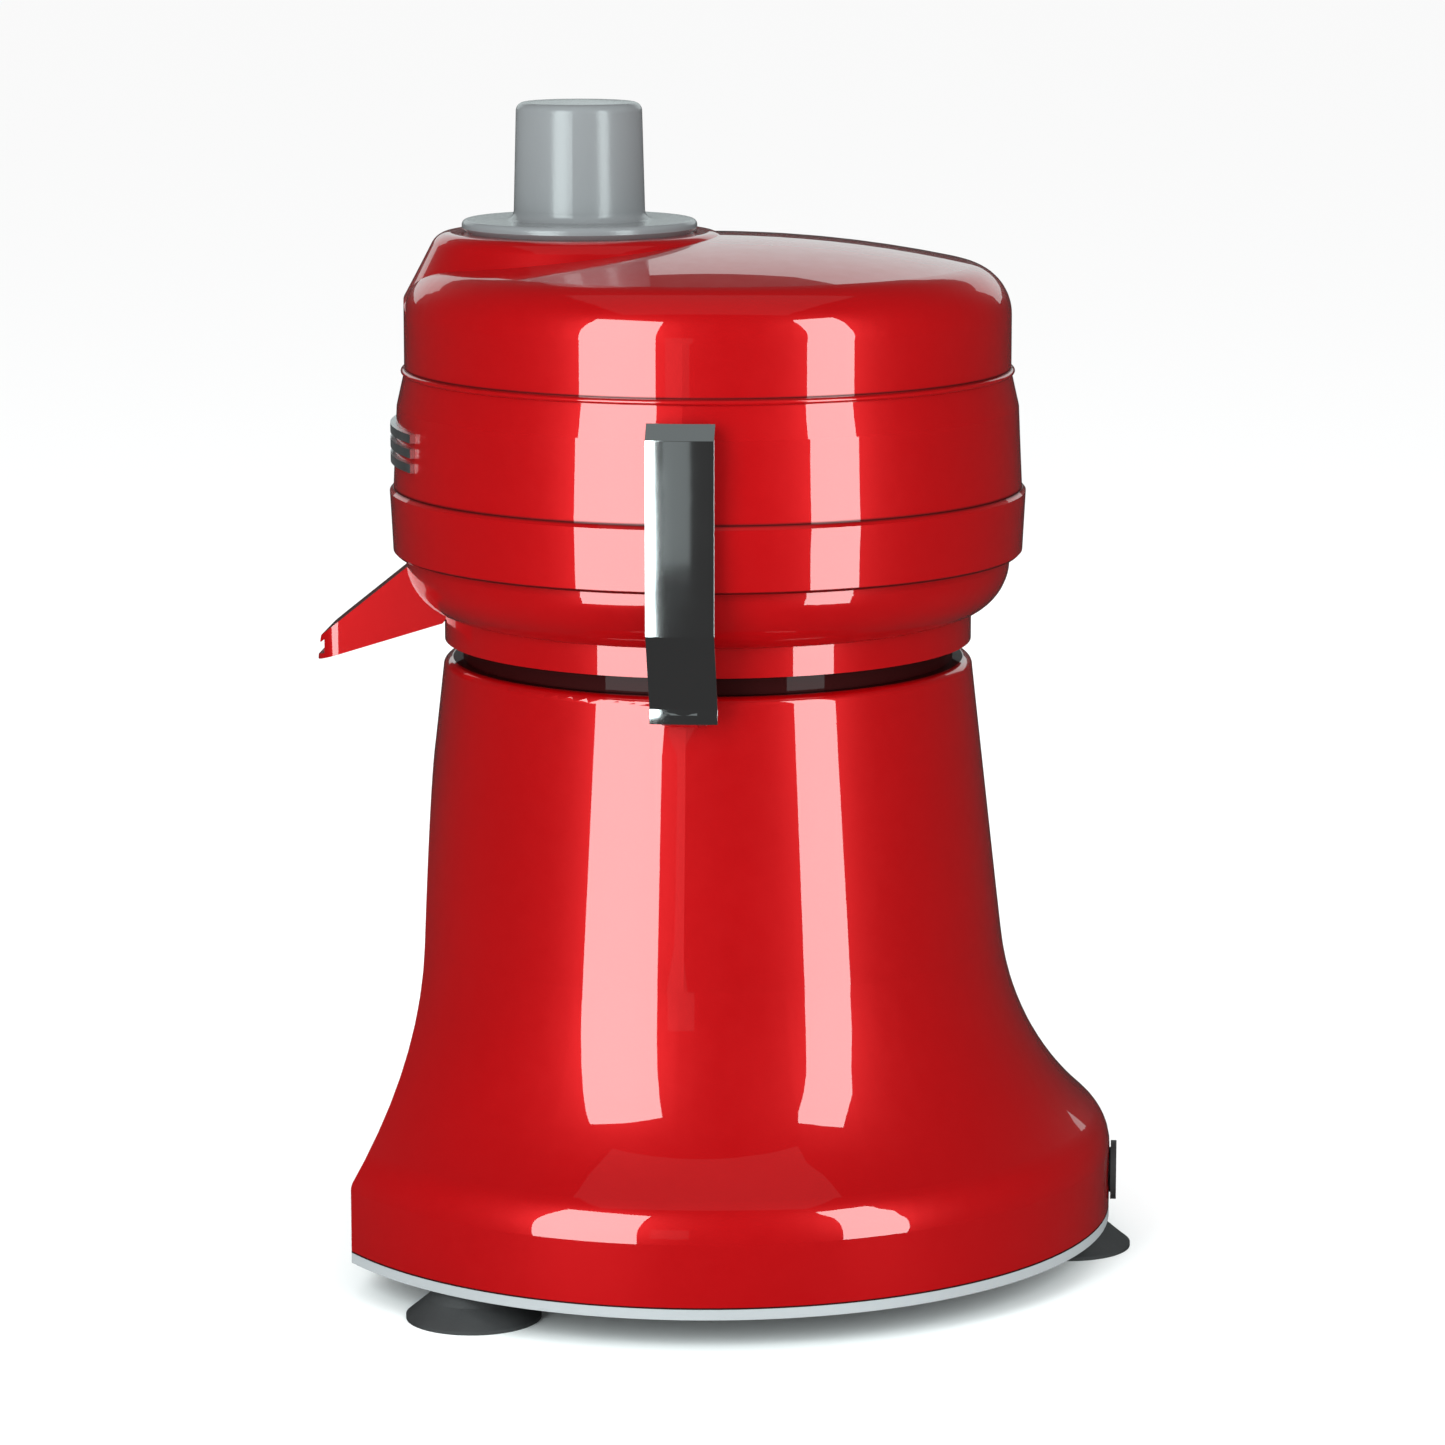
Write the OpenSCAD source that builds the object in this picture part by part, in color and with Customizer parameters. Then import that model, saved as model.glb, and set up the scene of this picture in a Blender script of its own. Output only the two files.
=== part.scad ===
// Centrifugal juice extractor: bell-shaped motor base on suction feet, juice bowl with
// spout, strainer basket, pulp collector, domed lid with feed chute, pusher, side clamps.
// Frame: +Z up, origin at table level under the middle of the whole; spout towards -Y.
// The modules are drawn round the motor's axis, and painted() moves each into the frame.

/* [Base] */
// Radius of the base at its skirt
base_r = 140; // [118:1:168]
// Height of the base's top edge above the table
base_h = 207; // [190:1:248]
// Distance from the axis to the flat front of the skirt
front_y = 114; // [108:1:118]
// Radius of the base at its top edge
base_top_r = 90.8; // [88:0.2:92]
// Height above the table at which the flare begins
flare_z = 111; // [100:1:120]
// Wall of the base housing
base_wall = 2.6; // [2:0.1:3.2]

/* [Bowl and lid] */
// Outer radius of the bowl's wall
bowl_r = 103.3; // [103:0.1:124]
// Height from the bowl's floor to its rim
bowl_h = 43.5; // [43:0.5:52]
// Height of the lid above the bowl's rim
lid_h = 85; // [80:1:102]
// Wall of the bowl and the lid
shell_wall = 2.5; // [2:0.1:3]

/* [Chute and pusher] */
// Bore radius of the feed chute
chute_r = 25.3; // [21:0.1:26]
// Distance from the axis to the centre of the chute
chute_y = 43.7; // [42:0.1:45]
// Height of the pusher's grip above its flange
grip_h = 39.5; // [33:0.5:48]

/* [Clamps] */
// Width of a clamp arm
clamp_w = 22.3; // [18:0.1:27]
// Thickness of a clamp arm
clamp_wall = 3.2; // [2.6:0.1:4]

/* [Motor] */
// Outer radius of the motor's iron
motor_r = 42; // [36:1:50]
// Radius of the motor shaft
shaft_r = 4; // [3:0.1:4.5]

/* [Fits] */
// Radial clearance of a shaft or pin in its bore
running_fit = 0.05; // [0.02:0.01:0.09]
// Clearance between parts that slide or lift past each other
slide_gap = 0.5; // [0.3:0.05:0.6]

/* [Hidden] */

$fn = 96;
eps = 0.01;
far = 400;                                // longer than the whole object

red = "#c20d14";
grey = "#b9bbbd";
chrome = "#d9dbde";
steel = "#a9adb1";
black = "#1b1b1c";
dark = "#34373a";
copper = "#b5652b";

// Levels, from the table up
foot_h = 11.5;                            // underside of the base plate
plate_t = 2.5;
trim_z = 11;                              // underside of the trim ring
skirt_low_z = 14.5;                       // lower edge of the housing
skirt_z = 36;                             // top of the upright skirt
neck_h = 15.5;                            // seat of the bowl above the base's top edge
seat_z = base_h + neck_h;                 // the bowl's floor rests here
floor_z = seat_z + shell_wall;            // inside floor of the bowl
rim_z = seat_z + bowl_h;                  // the bowl's rim, where the lid sits
lid_z = rim_z + lid_h;                    // apex of the lid
tower_z = seat_z + 11.5;                  // top of the shaft tower
hub_z = tower_z + 16.5;                   // top of the drive hub's lobes
disc_z = hub_z + 3.5;                     // underside of the grating disc
basket_z = disc_z + 45;                   // rim of the strainer basket
chute_z = disc_z + 5;                     // lower end of the feed chute
flange_z = lid_z + 1;                     // underside of the pusher's flange

// Radii of the base
base_taper = 0.112;                       // outward slope of the upper bell
skirt_fillet = 16.8;                      // roll of the flare into the skirt
top_edge = 3;                             // rounded top edge of the base
front_top = base_top_r + 2.6;             // the flat front fades out here
front_taper = 0.006;
front_fillet = 6.4;
trim_w = 6;                               // width of the trim ring
plate_gap = 0.3;
neck_r = base_top_r - 6.8;
tower_r = 15.5;
seal_r = 10;
seal_t = 6;

// Radii of the bowl and of what stands in it
collar_r = bowl_r - 13;
bowl_roll = 18.5;                         // roll of the bowl's wall into its floor
band_r = bowl_r + 5.3;                    // rim band at its top
band_h = 22.5;
ledge_depth = 8;                          // from the rim down to the ledge inside
inner_r = bowl_r - shell_wall;
ledge_r = inner_r + 4;
chimney_in = tower_r + 0.7;
chimney_r = chimney_in + shell_wall;
chimney_h = 17.5;
spout_w = 39;
spout_reach = 30;                         // from the bowl's wall to the spout's tip
spout_drop = 16.7;                        // of the tip's lower edge below the seat
spout_wall = 1.8;
spout_round = 8;
trough_w = 15;                            // clear width of the pulp trough
trough_r = inner_r - 0.7;                 // outside of the pulp collector
splash_r = trough_r - 2.4 - trough_w;     // outside of its inner wall
splash_wall = 2;
basket_gap = 1.2;
stud_r = 4;
basket_top_r = splash_r - splash_wall - basket_gap;
basket_low_r = basket_top_r - 7.5;
sheet = 0.8;

// Lid
skirt_drop = 27.5;                        // height of the lid's skirt below its shoulder
shoulder_h = 12;
lid_skirt_r = bowl_r + 4;
lid_roll = 17.3;                          // roll of the lid's wall into its dome
lid_roll_z = lid_z - 26.5;
boss_roll = 7;
boss_r = 44;                              // centre of the boss's rounded edge
boss_slope = 0.53;
funnel_r = 36;
funnel_z = lid_z - 4;
throat_z = lid_z - 15;
chute_wall = 2.2;
badge_t = 1.2;

// Pusher
flange_r = 40;
flange_t = 4.2;
grip_r = 21.4;
grip_draft = 0.9;
plunger_gap = 0.35;

// Clamps
pin_r = 2;
pin_x = base_top_r + 5.4;
pin_z = base_h - 4;
knuckle_r = 4.6;
knuckle_w = 9;
ear_t = 2.6;
ear_gap = 0.3;
ear_y = knuckle_w / 2 + ear_gap + ear_t / 2;
arm_x = band_r + 6.4;                     // outer face of a closed arm
arm_top_z = rim_z + 33.5;
arm_bend_z = pin_z + 28;
hook_rise = 5;

// Motor
bracket_z = base_h - 22;                  // top of the upper bracket
bracket_t = 5;
stator_z = bracket_z - 66;                // underside of the iron
stator_h = 45;
coil_h = 10;
coil_gap = 0.6;
bore_r = motor_r * 0.58;
air_gap = 0.6;
bearing_r = 11;
bearing_h = 7;
commutator_z = stator_z - 28;
lower_z = stator_z - 52;
fan_z = lower_z - 20;
fan_r = motor_r - 3;
mount_r = motor_r + 16;
tie_r = motor_r - 3.4;
damper_h = 8;

// Front switch: centre height on the flat front, and its sizes
switch_z = 70;
switch_w = 15;
switch_h = 27;
bezel = 2.4;
bezel_t = 1.6;
switch_depth = 20;
rocker_tilt = 9;
rocker_half = (switch_h - 4) / 2 - 1.1;
rocker_pivot = 7;                         // depth of its pivot behind the face

// The frame's origin lies midway between the spout's tip and the rear foot
foot_r = 22.5;
foot_neck_r = 6;
foot_ring = base_r - 15;
axis_y = ((bowl_r + spout_reach) - (foot_ring + foot_r)) / 2;

gland_z = 27;
gland_r = 8;
cord_bore_r = 3.6;

function unit(v) = v / norm(v);

// Flare of a bell: [centre, radius, tangent point on the taper, centre of the roll].
// The flare touches the taper at flare height and the skirt's roll from outside.
function flare_arc(top_r, slope, skirt_r, roll) =
    let (n = unit([1, slope]),
         start = [top_r + slope * (base_h - flare_z), flare_z],
         c2 = [skirt_r - roll, skirt_z],
         d = start - c2,
         r1 = (d * d - roll * roll) / (2 * (roll - d * n)))
    [start + r1 * n, r1, start, c2];

// Half outline of a bell, in (radius, height), moved inwards by inset
module bell_outline(top_r, slope, skirt_r, roll, inset, low) {
    arc = flare_arc(top_r, slope, skirt_r, roll);
    n = unit([1, slope]);
    meet = arc[3] + unit(arc[0] - arc[3]) * (roll - inset);
    shoulder = top_r - inset * norm([1, slope]);
    edge = max(top_edge - inset, 0.4);
    top = base_h - inset;
    difference() {
        union() {
            polygon([[0, low], [skirt_r - inset, low], [skirt_r - inset, skirt_z], meet,
                     arc[2] - n * inset, [shoulder, top - edge], [shoulder - edge, top],
                     [0, top]]);
            translate([shoulder - edge, top - edge]) circle(edge);
            intersection() {
                translate(arc[3]) circle(roll - inset);
                translate([0, low]) square([far, far]);
            }
        }
        translate(arc[0]) circle(arc[1] + inset);
    }
}

function arc_points(c, r, from, to, n) =
    [for (i = [0 : n]) let (a = from + (to - from) * i / n) c + r * [cos(a), sin(a)]];

// Profile of the flat front, in (distance from the axis, height), in short straight steps
front_arc = flare_arc(front_top, front_taper, front_y, front_fillet);
function front_profile() =
    let (up = unit(front_arc[0] - front_arc[3]), lean = atan2(up[1], up[0]))
    concat([[front_y, 0]],
           arc_points(front_arc[3], front_fillet, 0, lean, 3),
           arc_points(front_arc[0], front_arc[1], 180 + lean, 180 + atan(front_taper), 9),
           [[front_top - front_taper * 20, base_h + 20]]);
function front_at(z) =
    front_arc[0][0] - sqrt(pow(front_arc[1], 2) - pow(z - front_arc[0][1], 2));

module along_x(length) {
    rotate([90, 0, -90]) translate([0, 0, -length / 2]) linear_extrude(length) children();
}

// Takes away all that lies in front of a profile
module front_cut(profile) {
    along_x(far) polygon(concat(profile, [[far, base_h + 20], [far, 0]]));
}

module bell_turned(inset, low) {
    rotate_extrude() bell_outline(base_top_r, base_taper, base_r, skirt_fillet, inset, low);
}

// The inside of the front is plainer than the outside, and at least a wall behind it
module bell_shell() {
    gap = base_wall + 1;
    difference() {
        difference() {
            bell_turned(0, skirt_low_z);
            front_cut(front_profile());
        }
        difference() {
            bell_turned(base_wall, skirt_low_z - 1);
            front_cut([[front_y - gap, 0], [front_y - gap, skirt_z + 1],
                       [front_at(skirt_z + 30) - gap, skirt_z + 30],
                       [front_at(flare_z - 7) - gap, flare_z - 7],
                       [front_top - gap, base_h + 20]]);
        }
    }
}

// Outline of the foot of the bell, in plan
module plan(inset) {
    intersection() {
        circle(base_r - inset);
        translate([-far / 2, -(front_y - inset)]) square(far);
    }
}

module ring(outer, inner, h) {
    difference() {
        cylinder(r = outer, h = h);
        translate([0, 0, -1]) cylinder(r = inner, h = h + 2);
    }
}

// Colours a piece and moves it from the motor's axis into the frame
module painted(c) {
    color(c) translate([0, axis_y, 0]) children();
}

module around(n, start = 0) {
    for (i = [0 : n - 1]) rotate(start + i * 360 / n) children();
}

// Local frame on the flat front: x across, y out of the face, z up the face
front_lean = asin((front_arc[0][1] - switch_z) / front_arc[1]);
front_face = front_arc[0][0] - front_arc[1] * cos(front_lean);
module on_front() {
    translate([0, -front_face, switch_z]) rotate([-front_lean, 0, 0]) rotate(180) children();
}

plate_posts = [0, 60, 120, 180, 230, 310];
post_r = base_r - 13;
foot_angles = [326, 214, 90];

// ---- Base ----

module base_housing() {
    painted(red) difference() {
        union() {
            difference() {
                union() {
                    bell_shell();
                    translate([0, 0, base_h - base_wall]) cylinder(r = neck_r, h = neck_h + base_wall);
                }
                translate([0, 0, base_h - base_wall - 1])
                    cylinder(r = neck_r - base_wall, h = neck_h + 1);
            }
            translate([0, 0, seat_z - base_wall])
                cylinder(r = tower_r, h = tower_z - seat_z + base_wall);
            intersection() {
                bell_turned(base_wall / 2, skirt_low_z);
                for (a = plate_posts) rotate(a) plate_post();
            }
            around(4, 45) translate([mount_r, 0, bracket_z + damper_h])
                cylinder(r = 5, h = seat_z - 1 - bracket_z - damper_h);
        }
        translate([0, 0, seat_z - base_wall - 1])
            cylinder(r = tower_r - base_wall, h = tower_z - seal_t - seat_z + base_wall + 1);
        translate([0, 0, seat_z]) cylinder(r = seal_r, h = far);
        around(4, 45) translate([mount_r, 0, bracket_z]) cylinder(r = 1.6, h = 24);
        translate([0, 0, gland_z]) rotate([-90, 0, 0]) cylinder(r = gland_r, h = far);
        on_front() {
            cube([switch_w + 2, 16, switch_h + 2], center = true);
            translate([0, 5 - 0.6, 0])
                cube([switch_w + 2 * bezel + 1, 10, switch_h + 2 * bezel + 1], center = true);
        }
        for (a = [0, 180], s = [-1, 1]) rotate(a)
            translate([base_top_r - 6, s * ear_y - ear_t / 2 - ear_gap, pin_z - 4 - ear_gap])
            cube([12, ear_t + 2 * ear_gap, 4.5 + 2 * ear_gap]);
    }
}

// Screw post with a web to the wall
module plate_post() {
    difference() {
        union() {
            translate([post_r, 0, foot_h + plate_t]) cylinder(r = 4.5, h = 24);
            translate([post_r, -1.2, skirt_low_z + 2]) cube([30, 2.4, 20]);
        }
        translate([post_r, 0, 0]) cylinder(r = 1.4, h = foot_h + plate_t + 16);
    }
}

module base_trim() {
    painted(grey) translate([0, 0, trim_z]) linear_extrude(skirt_low_z - trim_z)
        difference() {
            plan(0);
            plan(trim_w);
        }
}

module base_plate() {
    painted(dark) difference() {
        translate([0, 0, foot_h]) linear_extrude(plate_t) plan(trim_w + plate_gap);
        for (a = foot_angles) rotate(a) translate([foot_ring, 0, 0])
            cylinder(r = foot_neck_r + 0.2, h = far);
        for (a = plate_posts) rotate(a) translate([post_r, 0, 0])
            cylinder(r = 1.8, h = far);
        for (r = [16 : 9 : 43]) around(4, 0) rotate_extrude(angle = 70)
            translate([r, foot_h - 1]) square([4.5, plate_t + 2]);
    }
}

module suction_foot(angle) {
    painted(black) rotate(angle) translate([foot_ring, 0, 0]) rotate_extrude() difference() {
        union() {
            polygon([[0, 0], [foot_r, 0], [foot_r, 1.2], [19.5, 3.6],
                     [15.5, 7], [12.5, trim_z - 0.3], [8.7, trim_z - 0.3], [8.7, foot_h],
                     [0, foot_h]]);
            translate([0, foot_h - eps]) square([foot_neck_r, plate_t + 0.2 + 2 * eps]);
            translate([0, foot_h + plate_t + 0.2])
                polygon([[0, 0], [8.4, 0], [8.4, 1.4], [5.4, 4.6], [0, 4.6]]);
        }
        translate([0, 5 - 43.7]) circle(43.7);
    }
}
module foot_left() suction_foot(foot_angles[1]);
module foot_right() suction_foot(foot_angles[0]);
module foot_rear() suction_foot(foot_angles[2]);

module pan_screw(length, r, head_r, head_h) {
    cylinder(r = r, h = length);
    translate([0, 0, -head_h]) cylinder(r = head_r, h = head_h);
}

module base_plate_screws() {
    painted(steel) for (a = plate_posts) rotate(a) translate([post_r, 0, foot_h])
        pan_screw(14, 1.3, 3.2, 1.8);
}

module cord_gland() {
    wall_y = base_r;
    painted(black) translate([0, wall_y, gland_z]) rotate([90, 0, 0]) difference() {
        union() {
            translate([0, 0, -2.4]) cylinder(r = gland_r + 2.2, h = 2);
            translate([0, 0, -1]) cylinder(r = gland_r - 0.2, h = base_wall + 4);
            translate([0, 0, base_wall + 0.4]) cylinder(r = gland_r + 1.6, h = 3);
        }
        translate([0, 0, -10]) cylinder(r = cord_bore_r, h = 30);
    }
}

module front_switch_body() {
    painted(black) on_front() {
        difference() {
            union() {
                translate([0, -0.6 + bezel_t / 2, 0])
                    cube([switch_w + 2 * bezel, bezel_t, switch_h + 2 * bezel], center = true);
                translate([0, -switch_depth / 2, 0])
                    cube([switch_w + 1, switch_depth, switch_h + 1], center = true);
            }
            translate([0, -5, 0]) cube([switch_w - 2, 24, switch_h - 3], center = true);
        }
        translate([0, -rocker_pivot, 0]) rotate([0, 90, 0])
            cylinder(r = 1.5 - running_fit, h = switch_w, center = true);
    }
}

// Two flats that meet at the middle, turned to the off position
module switch_rocker() {
    width = switch_w - 2.8;
    face = rocker_pivot;
    rise = rocker_half * tan(rocker_tilt);
    painted(dark) on_front() translate([0, -rocker_pivot, 0]) rotate([-rocker_tilt, 0, 0])
        rotate([90, 0, 90]) translate([0, 0, -width / 2]) linear_extrude(width) difference() {
            polygon([[-5, -4], [face + rise, -rocker_half], [face, 0],
                     [face + rise, rocker_half], [-5, 4]]);
            circle(1.5);
        }
}

module speed_control_board() {
    low = foot_h + plate_t;
    painted("#2c6b3a") {
        translate([26, -84, low]) cube([42, 1.6, 44]);
        translate([32, -82.4, low + 8]) cube([14, 9, 18]);
        translate([50, -82.4, low + 12]) cube([14, 7, 10]);
    }
}

module interlock_switch() {
    top = base_h + neck_h - base_wall;
    painted(black) {
        translate([-64, -5, top - 18]) cube([10, 20, 18]);
        translate([-55, -3, top - 15]) cube([5, 16, 0.8]);
    }
}

module suppression_capacitor() {
    painted("#c9a54a") translate([60, 42, foot_h + plate_t]) cylinder(r = 8, h = 30);
}

// ---- Motor, fixed ----

module stator_core() {
    painted(steel) translate([0, 0, stator_z]) difference() {
        intersection() {
            cylinder(r = motor_r, h = stator_h);
            cube([2 * motor_r * 0.94, far, far], center = true);
        }
        translate([0, 0, -1]) cylinder(r = bore_r, h = stator_h + 2);
        for (a = [0, 180]) rotate(a + 90) translate([0, 0, -1]) rotate(-26)
            rotate_extrude(angle = 52) translate([bore_r - 1, 0])
            square([motor_r * 0.22, stator_h + 2]);
        around(2, 45) translate([tie_r, 0, -1]) cylinder(r = 2.3, h = stator_h + 2);
    }
}

module coil_pair(z) {
    for (a = [0, 180]) rotate(a - 62) translate([0, 0, z]) rotate_extrude(angle = 124)
        translate([bore_r + 1, 0]) square([motor_r * 0.2, coil_h]);
}

module field_coils() {
    painted(copper) rotate(90) {
        coil_pair(stator_z - coil_h - coil_gap);
        coil_pair(stator_z + stator_h + coil_gap);
    }
}

module bearing(z) {
    translate([0, 0, z]) {
        ring(bearing_r, bearing_r - 2.2, bearing_h);
        ring(shaft_r + running_fit + 2.2, shaft_r + running_fit, bearing_h);
        translate([0, 0, 1]) ring(bearing_r - 2.2 + eps, shaft_r + running_fit + 2.2 - eps, 5);
    }
}
module upper_bearing() painted(steel) bearing(bracket_z - 1);
module lower_bearing() painted(steel) bearing(lower_z + 4);

module upper_motor_bracket() {
    painted(steel) difference() {
        union() {
            translate([0, 0, bracket_z - bracket_t]) cylinder(r = motor_r - 4, h = bracket_t);
            around(4, 45) translate([0, -7, bracket_z - bracket_t])
                cube([mount_r, 14, bracket_t]);
            around(4, 45) translate([mount_r, 0, bracket_z - bracket_t])
                cylinder(r = 8, h = bracket_t);
            translate([0, 0, bracket_z - bracket_t]) cylinder(r = bearing_r + 3.5, h = 12);
        }
        translate([0, 0, bracket_z - 1]) cylinder(r = bearing_r, h = far);
        translate([0, 0, bracket_z - far]) cylinder(r = bearing_r - 3, h = far);
        around(4, 45) translate([mount_r, 0, 0]) cylinder(r = 2.2, h = far);
        around(2, 45) translate([tie_r, 0, 0]) cylinder(r = 2.2, h = far);
        around(8, 22.5) translate([motor_r - 15, 0, 0]) cylinder(r = 3.6, h = far);
    }
}

module lower_motor_bracket() {
    painted(steel) difference() {
        union() {
            translate([0, 0, lower_z]) cylinder(r = bearing_r + 3.5, h = 12);
            translate([0, 0, lower_z + 6]) around(2, 45)
                translate([bearing_r + 1, -8, 0]) cube([tie_r + 5 - bearing_r, 16, 6]);
            translate([0, 0, lower_z + 6]) around(2, 135) {
                translate([bearing_r + 1, -6, 0]) cube([motor_r * 0.7 - bearing_r, 12, 6]);
                translate([motor_r * 0.7 - 8, -4, 4])
                    cube([8, 8, commutator_z + 3.5 - lower_z - 10]);
            }
        }
        translate([0, 0, lower_z + 4]) cylinder(r = bearing_r, h = bearing_h + 9);
        translate([0, 0, lower_z - 1]) cylinder(r = bearing_r - 3, h = 9);
        around(2, 45) translate([tie_r, 0, 0]) cylinder(r = 2.2, h = far);
    }
}

module motor_tie_bolts() {
    length = bracket_z - lower_z - 6;
    painted(steel) around(2, 45) translate([tie_r, 0, lower_z + 6]) {
        cylinder(r = 2, h = length + 4);
        translate([0, 0, -3]) cylinder(r = 3.6, h = 3);
        translate([0, 0, length]) cylinder(r = 3.6, h = 3, $fn = 6);
    }
}

module motor_dampers() {
    painted(black) around(4, 45) translate([mount_r, 0, bracket_z])
        ring(7, 2.2, damper_h);
}

module motor_mount_screws() {
    painted(steel) around(4, 45) translate([mount_r, 0, bracket_z - bracket_t])
        pan_screw(bracket_t + damper_h + 10, 1.5, 3.6, 2.4);
}

module brush_holders() {
    painted(dark) around(2, 135) translate([14, -4.5, commutator_z + 3.5]) difference() {
        cube([18, 9, 10]);
        translate([-1, 2, 2]) cube([20, 5, 6]);
    }
}

module carbon_brushes() {
    painted("#2a2a2a") around(2, 135) translate([12.3, -2.3, commutator_z + 5.7])
        cube([12, 4.6, 5.6]);
}

module shaft_seal() {
    painted(black) translate([0, 0, tower_z - seal_t]) difference() {
        cylinder(r = seal_r, h = seal_t);
        translate([0, 0, -1]) cylinder(r = shaft_r + running_fit, h = seal_t + 2);
        translate([0, 0, -1]) cylinder(r = seal_r - 3, h = seal_t - 1);
    }
}

// ---- Motor, turning ----

module motor_shaft() {
    painted(steel) translate([0, 0, fan_z - 3]) cylinder(r = shaft_r, h = hub_z - 2 - fan_z + 3);
}

module on_shaft(z, h) {
    difference() {
        children();
        translate([0, 0, z - 1]) cylinder(r = shaft_r, h = h + 2);
    }
}

module armature_core() {
    painted(steel) on_shaft(stator_z, stator_h) difference() {
        translate([0, 0, stator_z]) cylinder(r = bore_r - air_gap, h = stator_h);
        around(12) translate([bore_r - 5, 0, stator_z - 1])
            cylinder(r = 2.2, h = stator_h + 2);
    }
}

module armature_windings() {
    painted(copper) {
        on_shaft(0, far) translate([0, 0, stator_z - 10]) cylinder(r = bore_r - 4, h = 10);
        on_shaft(0, far) translate([0, 0, stator_z + stator_h]) cylinder(r = bore_r - 4, h = 10);
    }
}

module commutator() {
    painted(copper) on_shaft(commutator_z, 18) difference() {
        translate([0, 0, commutator_z]) cylinder(r = 12, h = 17);
        around(24) translate([11.3, -0.25, commutator_z - 1]) cube([2, 0.5, 16]);
    }
}

module cooling_fan() {
    painted(grey) on_shaft(fan_z, 14) union() {
        translate([0, 0, fan_z]) cylinder(r = 9, h = 14);
        translate([0, 0, fan_z]) cylinder(r = fan_r, h = 1.6);
        around(9) translate([8, -0.8, fan_z]) cube([fan_r - 9, 1.6, 12]);
    }
}

hub_core_r = 8.6;
lobe_r = 2.4;
module hub_lobes(grow, h) {
    cylinder(r = hub_core_r + grow, h = h);
    around(6) translate([hub_core_r, 0, 0]) cylinder(r = lobe_r + grow, h = h);
}

module drive_hub() {
    painted(black) on_shaft(tower_z, 16) translate([0, 0, tower_z + 1.5])
        hub_lobes(0, hub_z - tower_z - 1.5);
}

// ---- Bowl ----

module spout_side(inset, back) {
    tip = bowl_r + spout_reach;
    top = seat_z + 18 - inset * 1.3;
    lip = seat_z - 8 - inset * 1.3;
    low = seat_z - spout_drop + inset;
    polygon(concat([[back, seat_z + inset], [back, top], [bowl_r - 4, top], [tip - 1.6, lip]],
                   inset > 0 ? [[tip + 5, lip], [tip + 5, low]] : [],
                   [[tip, low], [bowl_r - 14, seat_z - 3 + inset]]));
}

// Plan of the spout, with rounded corners at its tip
module spout_plan(inset, back) {
    w = spout_w / 2 - inset;
    r = spout_round - inset;
    tip = bowl_r + spout_reach + (inset > 0 ? 6 : 0);
    translate([-w, -tip + r]) square([2 * w, tip - r - back]);
    translate([-w + r, -tip]) square([2 * (w - r), r + 1]);
    for (s = [-1, 1]) translate([s * (w - r), -tip + r]) circle(r);
}

module spout(inset, back) {
    intersection() {
        along_x(spout_w + 2) spout_side(inset, back);
        translate([0, 0, seat_z - 30]) linear_extrude(80) spout_plan(inset, back);
    }
}

module bowl_outline() {
    polygon([[0, seat_z], [bowl_r - bowl_roll, seat_z], [bowl_r, seat_z + bowl_roll],
             [bowl_r, rim_z - band_h], [band_r - 2, rim_z - band_h],
             [band_r - 1, rim_z - band_h + 1], [band_r, rim_z - 1.2],
             [band_r - 1, rim_z], [0, rim_z]]);
    translate([bowl_r - bowl_roll, seat_z + bowl_roll]) circle(bowl_roll);
    translate([collar_r - shell_wall, seat_z - 9]) square([shell_wall, 12]);
}

module bowl_hollow() {
    roll = bowl_roll - shell_wall;
    polygon([[0, floor_z], [bowl_r - bowl_roll, floor_z], [inner_r, seat_z + bowl_roll],
             [inner_r, rim_z - ledge_depth], [ledge_r, rim_z - ledge_depth],
             [ledge_r, rim_z + 1], [0, rim_z + 1]]);
    translate([bowl_r - bowl_roll, seat_z + bowl_roll]) circle(roll);
}

module juice_bowl() {
    painted(red) difference() {
        union() {
            difference() {
                union() {
                    rotate_extrude() bowl_outline();
                    spout(0, bowl_r - 16);
                }
                rotate_extrude() bowl_hollow();
            }
            translate([0, 0, seat_z]) cylinder(r = chimney_r, h = chimney_h);
        }
        translate([0, 0, seat_z - 1]) cylinder(r = chimney_in, h = chimney_h + 2);
        spout(spout_wall, bowl_r - 22);
    }
}

// ---- Basket ----

module basket_hub() {
    painted(dark) difference() {
        union() {
            translate([0, 0, disc_z - 3]) cylinder(r = basket_low_r - 6, h = 3);
            translate([0, 0, tower_z + 2]) cylinder(r = chimney_in - 1.2, h = disc_z - tower_z - 3);
            translate([0, 0, floor_z + 4])
                ring(chimney_r + 4, chimney_r + 1.6, disc_z - floor_z - 5);
            translate([0, 0, disc_z - 1]) cylinder(r = stud_r, h = sheet + 8.4);
        }
        translate([0, 0, tower_z + 1]) hub_lobes(0.3, hub_z - tower_z - 0.5);
    }
}

// Conical sieve with a foot flange and a rolled rim
module strainer_basket() {
    painted(chrome) difference() {
        rotate_extrude() {
            polygon([[basket_low_r - sheet, disc_z], [basket_low_r, disc_z],
                     [basket_top_r, basket_z], [basket_top_r - sheet, basket_z]]);
            translate([basket_low_r - 12, disc_z]) square([12, sheet]);
            translate([basket_top_r - 0.9, basket_z]) circle(1.3);
        }
        for (row = [0 : 3], i = [0 : 15])
            rotate(22.5 * i + 11.25 * (row % 2))
            translate([basket_low_r - 6, 0, disc_z + 8 + row * 9])
            rotate([0, 90, 0]) cylinder(r = 1.8, h = 20);
    }
}

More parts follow.
